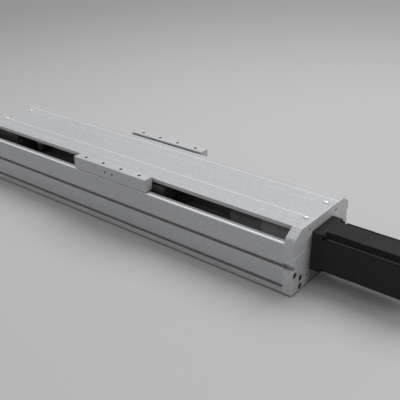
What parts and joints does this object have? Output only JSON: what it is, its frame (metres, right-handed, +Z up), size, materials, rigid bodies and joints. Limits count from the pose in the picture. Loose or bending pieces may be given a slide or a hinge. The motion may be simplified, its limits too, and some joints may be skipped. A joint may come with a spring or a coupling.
{
  "type": "belt driven linear axis",
  "caption": "Covered linear axis: grooved aluminium profile, flat cover, winged table on guide rails, toothed belt with right-angle bevel drive and in-line servo motor.",
  "frame": {"origin": "middle of the profile's bottom face", "axes": "+X along the travel towards the motor, +Y across, +Z up out of the table"},
  "size_m": [0.811, 0.154, 0.1005],
  "materials": {
    "anodised_profile": "extruded and clear anodised",
    "anodised_plate": "fine blasted and clear anodised",
    "anodised_cover": "extruded and clear anodised, satin",
    "machined_aluminium": "milled and clear anodised",
    "ground_steel": "ground",
    "bearing_steel": "polished",
    "gear_steel": "case hardened and oiled",
    "zinc_screws": "zinc plated",
    "black_screws": "black oxide",
    "motor_black": "black powder coat, satin",
    "dark_plastic": "moulded",
    "belt_rubber": "polyurethane, matt",
    "buffer_rubber": "moulded rubber"
  },
  "bodies": {
    "frame": {"base_profile": "anodised_profile", "motor_end_plate": "anodised_plate", "idler_end_plate": "anodised_plate", "end_plate_screws": "black_screws", "dowel_pins": "ground_steel", "top_cover": "anodised_cover", "cover_screws": "zinc_screws", "guide_rails": "ground_steel", "rail_screws": "black_screws", "toothed_belt": "belt_rubber", "cross_bearing_outer_rings": "bearing_steel", "pinion_bearing_outer_rings": "bearing_steel", "pinion_retaining_rings": "black_screws", "pinion_bearing_block": "machined_aluminium", "side_block_front": "machined_aluminium", "side_block_rear": "machined_aluminium", "drive_head_screws": "black_screws", "idler_housing": "machined_aluminium", "idler_housing_screws": "black_screws", "idler_axle": "ground_steel", "idler_bearing_inner_rings": "bearing_steel", "tension_screws": "black_screws", "end_buffers": "buffer_rubber", "motor_flange": "motor_black", "motor_body": "motor_black", "motor_rear_bell": "motor_black", "motor_encoder_housing": "motor_black", "motor_connectors": "dark_plastic", "motor_screws": "black_screws"},
    "table": {"carriage_table": "anodised_plate", "guide_block_bodies": "ground_steel", "guide_block_end_caps": "dark_plastic", "guide_block_screws": "black_screws", "belt_clamps": "machined_aluminium", "belt_clamp_screws": "black_screws"},
    "cross_drive": {"drive_pulley": "machined_aluminium", "cross_shaft": "ground_steel", "bevel_gear": "gear_steel", "drive_keys": "ground_steel", "shaft_spacers": "ground_steel", "cross_shaft_rings": "black_screws", "cross_bearing_inner_rings": "bearing_steel"},
    "motor_drive": {"motor_shaft": "ground_steel", "bevel_pinion": "gear_steel", "pinion_bearing_inner_rings": "bearing_steel", "clamp_collar": "black_screws", "clamp_collar_screw": "zinc_screws"},
    "idler": {"idler_pulley": "machined_aluminium", "idler_bearing_outer_rings": "bearing_steel"}
  },
  "joints": [
    {"name": "table_slide", "type": "slide", "parent": "frame", "child": "table", "axis": [1, 0, 0], "range_m": [-0.14, 0.11], "deforming": ["toothed_belt"]},
    {"name": "cross_shaft_spin", "type": "hinge", "parent": "frame", "child": "cross_drive", "pos_m": [0.2418, 0, 0.05158], "axis": [0, 1, 0], "range_deg": [-520, 410]},
    {"name": "motor_spin", "type": "hinge", "parent": "frame", "child": "motor_drive", "pos_m": [0.2418, 0, 0.05158], "axis": [1, 0, 0], "range_deg": [-820, 1040]},
    {"name": "idler_spin", "type": "hinge", "parent": "frame", "child": "idler", "pos_m": [-0.2732, 0, 0.05158], "axis": [0, 1, 0], "range_deg": [-520, 410]}
  ],
  "couplings": [
    {"joint": "cross_shaft_spin", "follows": "table_slide", "rad_per_m": 62.832},
    {"joint": "motor_spin", "follows": "table_slide", "rad_per_m": -125.66},
    {"joint": "idler_spin", "follows": "table_slide", "rad_per_m": 62.832}
  ]
}
